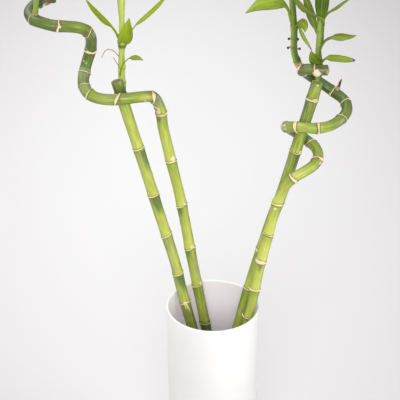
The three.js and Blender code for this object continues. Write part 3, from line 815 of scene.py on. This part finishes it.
class BAMBOO_OT_vase(bpy.types.Operator):
    """Turn the vase with its rounded lip and glaze it"""

    bl_idname = "bamboo.vase"
    bl_label = "Vase"

    def execute(self, context):
        settings = context.scene.bamboo_vase
        radius, high = vase_profile(*(
            getattr(settings, name) / MM
            for name in ("height", "rim", "foot", "wall", "floor"))).T[..., None]
        sides = 180
        angle = circle(sides)
        rows = np.stack([radius * np.cos(angle), radius * np.sin(angle),
                         np.repeat(high, sides, axis=1)], axis=-1)
        skin = Skin(spot=3, high=1, inside=1)
        past_lip = np.arange(len(high)) > high.argmax() + 3
        skin.add(rows, spot=rows * MM, high=rows[..., 2], inside=past_lip)
        vase = skin.build("glazed_vase", vase_finish(settings))
        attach(vase, "root")
        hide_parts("vase")
        return {"FINISHED"}


class BAMBOO_OT_water(bpy.types.Operator):
    """Give the water in the vase its clear finish"""

    bl_idname = "bamboo.water"
    bl_label = "Water"

    def execute(self, context):
        material = water_finish(context.scene.bamboo_vase)
        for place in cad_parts["water"].material_slots:
            place.material = material
        return {"FINISHED"}


# Canes

def full_rings(key):
    """The rings of a cane, with the looks of those that are given by place alone."""
    plain, high, bud_at, bud = (0.55, 0.2, 0.5, 0.4), 90, 140, 1.1
    return [ring if isinstance(ring, tuple)
            else (ring, *plain, high * number, bud_at * number, bud)
            for number, ring in enumerate(RINGS[key])]


def cane_stations(rings, length):
    """Places along a cane, close together at its rings."""
    coarse, fine, closest, margin = 1.5, 0.3, 0.14, 2.4
    start, end = 0.6, length - 0.5
    places = [np.arange(start, end, coarse), [end]]
    for at, half, _, _, tilt, _, _, height in rings:
        reach = half + tilt + margin
        places.append(at + np.arange(-reach, reach + max(height, 0), fine))
    places = np.unique(np.round(np.concatenate(places), 2))
    places = places[(places >= start) & (places <= end)]
    keep = [places[0]]
    for place in places[1:]:
        if place - keep[-1] > closest:
            keep.append(place)
    return np.array(keep)


def cane_surface(key, settings):
    """Rings of points of a cane, the values painted on them, and places on its skin."""
    path = Path(CANE_LINES[key])
    rings = full_rings(key)
    along = cane_stations(rings, path.length)
    angle = circle(settings.sides)
    s, turn = np.meshgrid(along, angle, indexing="ij")
    radius = np.interp(s, [0, path.length], CANES[key]["radius"])
    near = np.full_like(s, FAR)
    warm, edge, below, above, rim = np.zeros((5, *s.shape))
    for at, half, peach, brown, tilt, high, bud_at, height in rings:
        bud = turn_between(turn, math.radians(bud_at))
        off = s - (at + tilt * np.cos(turn - math.radians(high))
                   + 0.12 * np.cos(3 * turn + at) + height * bell(bud, 0.38))
        wide = half * (0.85 + 0.3 * np.cos(2 * turn + at) + 0.35 * bell(bud, 0.45))
        closest = np.abs(off) / wide < near
        near = np.where(closest, np.abs(off) / wide, near)
        warm = np.where(closest, peach, warm)
        line = np.where(off > 0, 0.9 * bell(off - wide - 0.35, 0.5),
                        bell(off + wide + 0.45, 0.75))
        # the fainter line above the ring is painted shadow under the ring's ledge
        line += (0.6 * bell(off - wide - 1.5, 0.35)
                 * smooth(np.cos(turn - at), -0.3, 0.5))
        edge = np.maximum(edge, (0.45 + 0.55 * brown) * line)
        radius += settings.swell / MM * (bell(off, 3.2) + 0.5 * bell(off + 2, 7))
        radius += settings.ridge / MM * (1 - smooth(np.abs(off), wide * 0.6,
                                                    wide * 1.3))
        radius -= 0.2 * bell(off - wide - 0.5, 0.5) + 0.12 * bell(off + wide + 0.5, 0.5)
        radius += 0.3 * bell(bud, 0.5) * bell(off + 0.4, 1.3)
        below = np.maximum(below, np.where(off < 0, np.exp(off / 13), 0))
        above = np.maximum(above, np.where(off > 0, np.exp(-off / 16), 0))
    _, normal, side = path.frames(along)
    away, upward = (
        normal[:, [axis]] * np.cos(angle) + side[:, [axis]] * np.sin(angle)
        for axis in (1, 2))
    painted = {kind: np.zeros_like(s) for kind in PAINTED}
    # grey bloom and dust on the top-facing skin, partly painted sheen and shade of the
    # light on the tops
    painted["bloom"] = 0.25 * smooth(upward, 0.45, 1.0)
    for kind, marks in MARKS[key].items():
        for at, degrees, reach, half, *strength in marks:
            across = turn_between(turn, math.radians(degrees)) * CANE_RADIUS
            if kind in ("shade", "bloom"):
                down = (at - s) / reach
                wide = half * (1 - 0.6 * np.clip(down, 0, 1))
                mask = (smooth(down, -0.01, 0.02) * (1 - smooth(down, 0.1, 1.05))
                        * (1 - smooth(np.abs(across) / wide, 0.3, 1.5)))
            else:
                shares = (s - at) / reach, across / half
                far = sum(map(np.abs, shares)) if kind == "peach" else np.hypot(*shares)
                mask = 1 - smooth(far, 0.4, 1.4)
            mask = mask * (strength[0] if strength else 1.0)
            if kind == "bud":
                radius += 0.7 * mask
            if kind == "peach":
                painted["scar"] = np.maximum(painted["scar"], mask)
            if kind in painted:
                painted[kind] = np.maximum(painted[kind], mask)
    phase = "abcd".index(key) * 1.7
    radius += (0.05 * np.sin(s / 7.3 + 2 * np.cos(turn) + phase)
               + 0.06 * np.sin(s / 19 + 2 * np.sin(turn + phase))
               + 0.035 * np.sin(5 * turn + s / 41 + phase)) * smooth(s, 0, 240)
    deep = np.interp(s, *np.transpose(DEPTHS[key]))
    # painted shade: darker where the skin turns away from the viewer, round its outline
    deep = deep + 0.45 * bell(-away * 0.86 + upward * 0.51, 0.42)
    values = dict(
        near=near, warm=warm, edge=edge, below=below, above=above, deep=deep, rim=rim,
        fresh=np.full_like(s, CANES[key].get("fresh", 0.0)), **painted)
    return swept(path, along, radius, settings.sides), values, wrapped(turn, s)


def with_ends(rows, values, run, hollow):
    """Adds the cut ends: a small bevel, then a face that is hollow or domed."""
    shares = np.array([0.965, 0.9, 0.86, 0.7, 0.5, 0.3, 0.12, 0.02])
    rims = np.concatenate([[0.1, 0.6], 2 - shares[2:]])
    bevel, foot = (0.35, 0.5), 0.3
    for out in (foot, hollow):
        # turned over, so that the foot comes last, and then back
        rows, run = rows[::-1], run[::-1]
        values = {name: value[::-1] for name, value in values.items()}
        centre = rows[-1].mean(axis=0)
        way = unit(centre - rows[-2].mean(axis=0))
        push = bevel[1] + out * (1 - (shares / shares[1]) ** 2)
        push[:2] = bevel
        caps = (centre + (rows[-1] - centre) * shares[:, None, None]
                + way * push[:, None, None])
        for name, value in values.items():
            more = np.repeat(value[-1:], len(shares), 0)
            if name == "near":
                more[:] = FAR
            if name == "rim":
                more[:] = rims[:, None]
            values[name] = np.concatenate([value, more])
        more = [run[-1] * (share, share, 1) for share in shares]
        rows, run = np.concatenate([rows, caps]), np.concatenate([run, more])
    return rows, values, run


def cane_finish(settings):
    """Green skin with fine lengthwise fibres, cream ring scars and cut ends."""
    skin = Finish("cane skin")
    fibres = skin.noise(("run", 9, 9, 0.35), 1.6, 4, 0.6)
    streaks = skin.noise(("run", 2.2, 2.2, 0.2), 1.3, 3, 0.6) - 0.5
    pale = skin.noise(("run", 3.1, 3.1, 0.1), 1.3, 2)
    clouds = skin.noise(("run", 1.2, 1.2, 0.9), 1.1, 3)
    ragged = skin.noise(("run", 5, 5, 9), 1.1, 3)
    specks = skin.noise(("run", 6, 6, 10), 2.4, 2)
    grain = skin.noise(("run", 14, 14, 0), 2, 3)
    deep, below, above, bloom, shade, near, edge, warm, rim, fresh = skin.painted(
        "deep", "below", "above", "bloom", "shade", "near", "edge", "warm", "rim",
        "fresh")
    cloudy, torn = clouds - 0.5, ragged - 0.5
    # darkest green where the depth runs high: the oldest turns, and the painted shade
    # where the depth is raised
    old_and_shaded = (deep + cloudy * 0.5 + torn * 0.3).between(0.95, 1.6)
    # brown ring edges, with the painted shadow line above each ring
    edges = (edge * (0.5 + ragged)).between(0.15, 0.85)
    band = 1 - (near + torn * 0.9).between(0.8, 1.2)
    scar, brown, dark = (
        (skin.painted(name) + torn * rough).between(0.2, high)
        for name, rough, high in (("scar", 0.9, 0.8), ("brown", 0.8, 0.9),
                                  ("dark", 0.7, 0.8)))
    cream = skin.mix((warm + skin.painted("peach") + cloudy * 1.2).between(0.3, 1.0),
                     settings.cream, settings.peach)
    pith = skin.layers(settings.pith,
                       (grain.between(0.3, 0.7), dimmed(settings.pith, 0.55)),
                       (fresh * clouds.between(0.4, 0.55), settings.green))
    colour = skin.layers(
        settings.young,
        # the depth carries painted shade and a painted highlight as well as the skin's
        # own green
        ((deep * 0.95 + below * 0.55 - above * 0.2 + cloudy * 0.6 + streaks * 0.8
          + 0.22).between(0, 1.1), settings.green),
        ((deep + cloudy * 0.4 + streaks * 0.6).between(0.35, 1.05), settings.deep),
        (pale.between(0.52, 0.7) * (1 - deep * 0.6) * 0.3, settings.pale),
        (old_and_shaded * 0.85, settings.old_and_shaded),
        # bloom, with its painted sheen and painted highlight streaks
        ((bloom + bloom * cloudy * 1.5).between(0, 1) * (1 - old_and_shaded * 0.6),
         settings.bloom),
        # sheathed skin, partly painted shadow
        ((shade + shade * streaks * 1.4).between(0.05, 0.95) * 0.85, settings.shade),
        (fibres.between(0.5, 0.72) * 0.25, settings.pale),
        (fibres.between(0.5, 0.3) * 0.3, settings.deep),
        (specks.between(0.7, 0.76) * 0.35, settings.cream),
        (edges * 0.8, settings.bark), (band * (1 - edges * 0.3), cream),
        (scar * 0.9, cream), (brown * 0.75, settings.bark),
        (dark * 0.85, settings.burnt),
        (rim.between(0.3, 0.75), skin.mix(rim.between(1.1, 1.25), cream, pith)))
    rough = 0.4 + clouds * 0.14 + band * 0.25 + scar * 0.2 + rim.between(0.3, 0.8) * 0.3
    return skin.surface(
        Base_Color=colour, Roughness=rough, bump=fibres * 0.5 + ragged * 0.5 * band,
        depth=0.00016, Specular_IOR_Level=0.5, Coat_Weight=(1 - band) * 0.22,
        Coat_Roughness=0.28)


def thorn_surface():
    """Rings of points of the dried bud, and the share of its length of each."""
    path = Path(THORN["line"])
    share, sides = np.linspace(0, 1, 24), 16
    radius = np.interp(share, THORN["shares"], THORN["radii"])
    lumps = 1 + 0.1 * np.sin(3 * circle(sides)[None] + share[:, None] * 9)
    return swept(path, share * path.length, radius[:, None] * lumps, sides), share


class BAMBOO_OT_canes(bpy.types.Operator):
    """Grow the four canes with their rings, scars and cut ends"""

    bl_idname = "bamboo.canes"
    bl_label = "Canes"

    def execute(self, context):
        settings = context.scene.bamboo_cane
        finish = cane_finish(settings)
        for key, cane in CANES.items():
            rows, values, run = with_ends(*cane_surface(key, settings), cane["end"])
            skin = Skin(run=3, **dict.fromkeys(values, 1))
            skin.add(rows, run=run, **values)
            if key == "d":
                thorn, share = thorn_surface()
                skin.add(thorn, run=thorn / CANE_RADIUS, near=FAR, deep=0.5, peach=1,
                         scar=1 - smooth(share, 0.4, 0.6), brown=0.68 + 0.3 * share,
                         dark=smooth(share, 0.3, 0.45))
            piece = skin.build(f"bamboo_cane_{key}", finish)
            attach(piece, "root")
            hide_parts(f"cane_{key}")
        return {"FINISHED"}


# Shoots

def blade_width(t, leaf, stalk):
    """Width of a leaf at t of its length: a narrow stalk, then a lance shape."""
    neck = leaf.get("neck", 2.6)
    u = np.clip((t - stalk) / (1 - stalk), 0, 1)
    lance = leaf["width"] * np.sin(math.pi * u ** 0.72) ** leaf.get("blunt", 0.85)
    return np.where(t <= stalk, neck, np.maximum(np.maximum(lance, neck * (1 - u)),
                                                 0.35))


def leaf_surface(leaf, number, settings):
    """Rings of points of a leaf: a trough at the stem that opens to a folded blade."""
    path = Path(leaf["line"])
    stalk, dry = leaf.get("stalk", 0.2), leaf.get("dry", 0.04)
    low_rows, high_rows, points = 12, 30, 11
    opening = stalk + 0.08
    share = np.concatenate([
        np.linspace(0, opening, low_rows),
        opening + (0.92 - stalk) * np.linspace(0, 1, high_rows + 1)[1:]])
    share[-1] = 0.999    # just short of the line's end
    origin = path.at(share * path.length)
    tangent = path.tangent(share * path.length)
    across = unit(np.array(leaf["across"], float))
    middle = path.tangent(np.array([path.length / 2]))[0]
    turn = -1 if np.cross(across, middle)[2] < 0 else 1
    side = unit(across - tangent * (tangent @ across)[:, None]) * -turn
    normal = unit(np.cross(side, tangent))
    t, s = share[:, None], np.linspace(-1, 1, points)
    half = blade_width(t, leaf, stalk) / 2
    wrap = np.maximum(1.5 * (1 - smooth(t, 0, stalk + 0.14)), 0.12)
    sideways = half * np.sin(wrap * s) / np.sin(wrap)
    fold = leaf.get("fold", 0.22) * smooth(t, stalk * 0.5, stalk + 0.15)
    wave = 0.22 * np.sin(t * 17 + number * 2.1 + s * 1.3) * smooth(half, 1, 5)
    lift = (half * (1 - np.cos(wrap * s)) / wrap
            + half * fold * np.sqrt(s ** 2 + 0.01) + wave * s ** 2)
    thick = settings.blade / MM * (0.5 + 0.5 * (1 - np.abs(s)) ** 0.7)
    thick = thick + (1 - smooth(t, 0, stalk + 0.1)) * 0.5
    thick = thick + 0.3 * bell(s, 0.09) * (1 - 0.7 * t)
    top, under = (origin[:, None] + side[:, None] * sideways[..., None]
                  + normal[:, None] * (lift + face * thick / 2)[..., None]
                  for face in (1, -1))
    round_way = np.concatenate([s, s[-2:0:-1]])
    place = np.broadcast_arrays(round_way * half, t * path.length, number * 7.0)
    return np.concatenate([top, under[:, -2:0:-1]], axis=1), {
        "place": np.stack(place, axis=-1), "across": round_way, "along": share,
        "under": np.arange(len(round_way)) >= len(s),
        "dry": smooth(share, 1 - dry, 1 - dry * 0.4),
        # the tone; split darkens one half of a blade as painted shade
        "tone": leaf.get("tone", 0.6 * math.sin(number * 2.7))
        + leaf.get("split", 0.0) * smooth(round_way, -0.2, 0.3)}


def arching_leaf(stem, at, azimuth, reach, width, rise, droop):
    """A leaf of the crown, which leaves the stem at an angle and arches over."""
    way = math.radians(azimuth)
    outward = np.array([math.cos(way), math.sin(way), 0])
    point = stem.at(at * stem.length)
    line, steps = [], 6
    for step in range(steps + 1):
        line.append(point)
        lean = math.radians(rise - droop * step / steps)
        point = point + (outward * math.cos(lean)
                         + np.array([0, 0, math.sin(lean)])) * reach / steps
    return {"line": line, "across": (-outward[1], outward[0], 0), "width": width,
            "stalk": 0.14, "fold": 0.25}


def stem_surface(path, stem):
    """The stem: internodes inside sheaths whose edges show as slanting steps."""
    sides, step = 28, 0.7
    along = np.arange(0, path.length, step)
    s, angle = np.meshgrid(along, circle(sides), indexing="ij")
    radius = np.interp(path.share(s), np.linspace(0, 1, len(stem["radii"])),
                       stem["radii"])
    node = np.zeros_like(s)
    for height, slant, phase, bulge in stem["collars"]:
        place = np.interp(height, path.at(along)[:, 2], along)
        off = s - place - slant * np.cos(angle - phase)
        radius += 0.12 * bulge * bell(off + 1.2, 2.2)
        radius += 0.16 * (1 - smooth(off, 0, 0.5)) * smooth(off, -9, 0)
        node = np.maximum(node, (0.4 + 0.15 * bulge) * bell(off + 0.5 * bulge,
                                                           0.6 + 0.7 * bulge))
    radius += 0.05 * np.sin(7 * angle + s / 11)
    # painted shade on one side of the stem
    away, strength = stem.get("side", (90, 0.25))
    return swept(path, along, radius, sides), {
        "run": wrapped(angle, s), "node": node, "pale": stem["pale"],
        "woody": stem.get("woody", 0.3),
        "base": stem.get("base", 1.0) * np.exp(-np.maximum(s - 5, 0) / 3.5),
        "side": strength * smooth(np.cos(angle - math.radians(away)), -0.3, 0.9)}


def stem_finish(settings):
    """Stem green with pale lengthwise stripes, darker nodes and a brown base."""
    skin = Finish("shoot stem")
    stripes = skin.noise(("run", 3, 3, 0.1), 1.5, 3)
    ragged = skin.noise(("run", 4, 4, 6), 1.4, 3)
    pale, woody, node, side, base = skin.painted("pale", "woody", "node", "side",
                                                 "base")
    torn = ragged - 0.5
    husk = (base + torn * 0.6).between(0.3, 0.8) * woody
    colour = skin.layers(
        settings.stem,
        ((stripes + pale * 0.5 - 0.12).between(0.35, 0.85), settings.stripe),
        ((1 - stripes).between(0.5, 0.75) * (1 - pale * 0.7) * 0.5, settings.dark),
        ((node + torn * 0.3).between(0.15, 1) * 0.85, settings.dark),
        (ragged.between(0.56, 0.7) * (1 - pale) * 0.5, settings.dark),
        # painted shade on one side of the stem
        ((side * (0.6 + stripes * 0.8)).between(0, 1), settings.dark),
        (husk, settings.husk), (husk * ragged.between(0.54, 0.6), settings.burnt))
    return skin.surface(
        Base_Color=colour, Roughness=0.46 + stripes * 0.15, bump=stripes,
        depth=0.00015, Subsurface_Weight=0.08, Subsurface_Radius=(0.003, 0.004, 0.001))


def leaf_finish(settings):
    """Glossy leaf with fine parallel veins, a pale midrib and a dry tip."""
    leaf = Finish("leaf")
    veins = leaf.noise(("place", 1.1, 0.012, 1), 1.6, 3, 0.6)
    clouds = leaf.noise(("place", 0.12, 0.05, 1), 1.3, 2)
    across, along, dry, tone, under = leaf.painted("across", "along", "dry", "tone",
                                                   "under")
    streaks = veins - 0.5
    green = (clouds - 0.5) * 0.7 + streaks * 1.3 + tone * 0.5
    colour = leaf.layers(
        settings.dark,
        ((green + 0.5).between(0, 1), settings.light),
        (veins.between(0.58, 0.75) * 0.2, settings.stripe),
        (under * 0.18, settings.stripe),
        ((1 - abs(across).between(0.02, 0.1)) * 0.25, settings.stripe),
        (abs(across).between(0.9, 1.0) * 0.3, settings.stripe),
        ((1 - along.between(0.02, 0.35)) * 0.6, settings.stem),
        ((dry + streaks * 0.3).between(0.15, 0.5), settings.dry),
        (dry.between(0.7, 1.0) * 0.8, settings.burnt))
    return leaf.surface(
        Base_Color=colour, Roughness=0.5 + clouds * 0.14, bump=veins, depth=0.00014,
        Specular_IOR_Level=0.3, Subsurface_Weight=0.1,
        Subsurface_Radius=(0.002, 0.004, 0.001))


def dry_finish(settings):
    """Dried brown root tips and threads."""
    dry = Finish("dried tip")
    grain = dry.noise(dry.node("ShaderNodeTexCoord", output="Object"), 900, 3)
    colour = dry.mix((dry.painted("along") + (grain - 0.5) * 0.4).between(0.3, 0.9),
                     settings.dry, settings.burnt)
    return dry.surface(Base_Color=colour, Roughness=0.75 + grain * 0.15, bump=grain,
                       depth=0.0002)


class BAMBOO_OT_shoots(bpy.types.Operator):
    """Grow the four leafy shoots"""

    bl_idname = "bamboo.shoots"
    bl_label = "Shoots"

    def execute(self, context):
        settings = context.scene.bamboo_shoot
        finishes = [make(settings) for make in (leaf_finish, stem_finish, dry_finish)]
        leaf, stem, dried = range(len(finishes))
        for key, shoot in STEMS.items():
            skin = Skin(place=3, run=3, **dict.fromkeys(
                ("across", "along", "under", "dry", "tone", "node", "base", "woody",
                 "pale", "side"), 1))
            path = Path(shoot["line"])
            rows, values = stem_surface(path, shoot)
            skin.add(rows, stem, **values)
            leaves = LEAVES[key] + [arching_leaf(path, *row) for row in CROWNS[key]]
            for number, blade in enumerate(leaves):
                rows, values = leaf_surface(blade, number, settings)
                skin.add(rows, leaf, **values)
            share, sides = np.linspace(0, 1, 24), 12
            for points in DRY_LINES.get(key, ()):
                path = Path(points)
                if key == "d":
                    radius, along = 0.55 + 0.7 * bell(share - 0.85, 0.22), share
                else:
                    radius, along = 0.55 - 0.25 * share, 0.25 + share * 0.2
                skin.add(swept(path, share * path.length, radius, sides), dried,
                         along=along)
            piece = skin.build(f"leafy_shoot_{key}", *finishes)
            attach(piece, "root")
            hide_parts(f"shoot_{key}")
        return {"FINISHED"}


# Stage

def floor_finish(settings):
    """Pale floor with painted shade that greys it a little away from the middle."""
    floor = Finish("pale floor")
    place = floor.node("ShaderNodeTexCoord", output="Object")
    cloud = floor.noise(place, 1.5, 2)
    # painted shade: greyer away from the middle, where a pool of light would fall off
    away = floor.node("ShaderNodeVectorMath", {"operation": "MULTIPLY_ADD"},
                      {0: place, 1: (3.7, 1.6, 0.0), 2: (0.11, -1.28, 0.0)})
    away = floor.node("ShaderNodeVectorMath", {"operation": "LENGTH"}, {0: away},
                      output="Value")
    colour = floor.layers(settings.floor, (cloud * 0.3, dimmed(settings.floor, 0.98)),
                          (away.between(0.2, 1.9), settings.edge))
    return floor.surface(Base_Color=colour, Roughness=0.9, Specular_IOR_Level=0.1)


class BAMBOO_OT_stage(bpy.types.Operator):
    """Set the camera, the pale floor and the soft light"""

    bl_idname = "bamboo.stage"
    bl_label = "Stage"

    def execute(self, context):
        scene = context.scene
        settings = scene.bamboo_stage
        mesh = bpy.data.meshes.new("pale_floor")
        reach = 8.0
        mesh.from_pydata([(-reach, -reach, 0), (reach, -reach, 0), (reach, reach, 0),
                          (-reach, reach, 0)], [], [(0, 1, 2, 3)])
        mesh.materials.append(floor_finish(settings))
        placed("pale_floor", mesh)
        camera = bpy.data.cameras.new("camera")
        camera.sensor_width = 36
        camera.lens = settings.lens
        camera.clip_end = 50
        scene.camera = placed("camera", camera)
        scene.camera.location = EYE
        scene.camera.rotation_euler = (math.radians(90 - EYE_DIP), 0, 0)
        for name, (place, target, size) in LIGHTS.items():
            light = bpy.data.lights.new(name, "AREA")
            light.shape = "DISK"
            light.size = size
            light.energy = getattr(settings, name)
            lamp = placed(name, light)
            lamp.location = place
            way = unit(np.array(target, float) - np.array(place, float))
            lamp.rotation_euler = (math.acos(-way[2]), 0,
                                   math.atan2(way[1], way[0]) - math.pi / 2)
        scene.world = bpy.data.worlds.new("soft light")
        scene.world.use_nodes = True
        sky = scene.world.node_tree.nodes["Background"]
        sky.inputs["Color"].default_value = (1.0, 1.0, 1.0, 1.0)
        sky.inputs["Strength"].default_value = settings.sky
        scene.view_settings.view_transform = "Standard"
        return {"FINISHED"}


class BAMBOO_PT_panel(bpy.types.Panel):
    """Lists the pieces and their settings"""

    bl_idname = "BAMBOO_PT_panel"
    bl_label = "Lucky Bamboo"
    bl_space_type = "VIEW_3D"
    bl_region_type = "UI"
    bl_category = "Bamboo"

    def draw(self, context):
        scene = context.scene
        for group, operators in (
            (scene.bamboo_stage, ("bamboo.stage",)),
            (scene.bamboo_vase, ("bamboo.vase", "bamboo.water")),
            (scene.bamboo_cane, ("bamboo.canes",)),
            (scene.bamboo_shoot, ("bamboo.shoots",)),
        ):
            box = self.layout.box()
            for name in group.__annotations__:
                box.prop(group, name)
            for operator in operators:
                box.operator(operator)


SETTINGS = {
    "bamboo_vase": VaseSettings, "bamboo_cane": CaneSettings,
    "bamboo_shoot": ShootSettings, "bamboo_stage": StageSettings,
}
CLASSES = (
    *SETTINGS.values(), BAMBOO_OT_stage, BAMBOO_OT_vase, BAMBOO_OT_water,
    BAMBOO_OT_canes, BAMBOO_OT_shoots, BAMBOO_PT_panel,
)


def register():
    for cls in CLASSES:
        bpy.utils.register_class(cls)
    for name, group in SETTINGS.items():
        setattr(bpy.types.Scene, name, PointerProperty(type=group))


def unregister():
    for name in SETTINGS:
        delattr(bpy.types.Scene, name)
    for cls in reversed(CLASSES):
        bpy.utils.unregister_class(cls)


def main():
    register()
    bpy.ops.bamboo.stage()
    bpy.ops.bamboo.vase()
    bpy.ops.bamboo.water()
    bpy.ops.bamboo.canes()
    bpy.ops.bamboo.shoots()


if __name__ == "__main__":
    main()
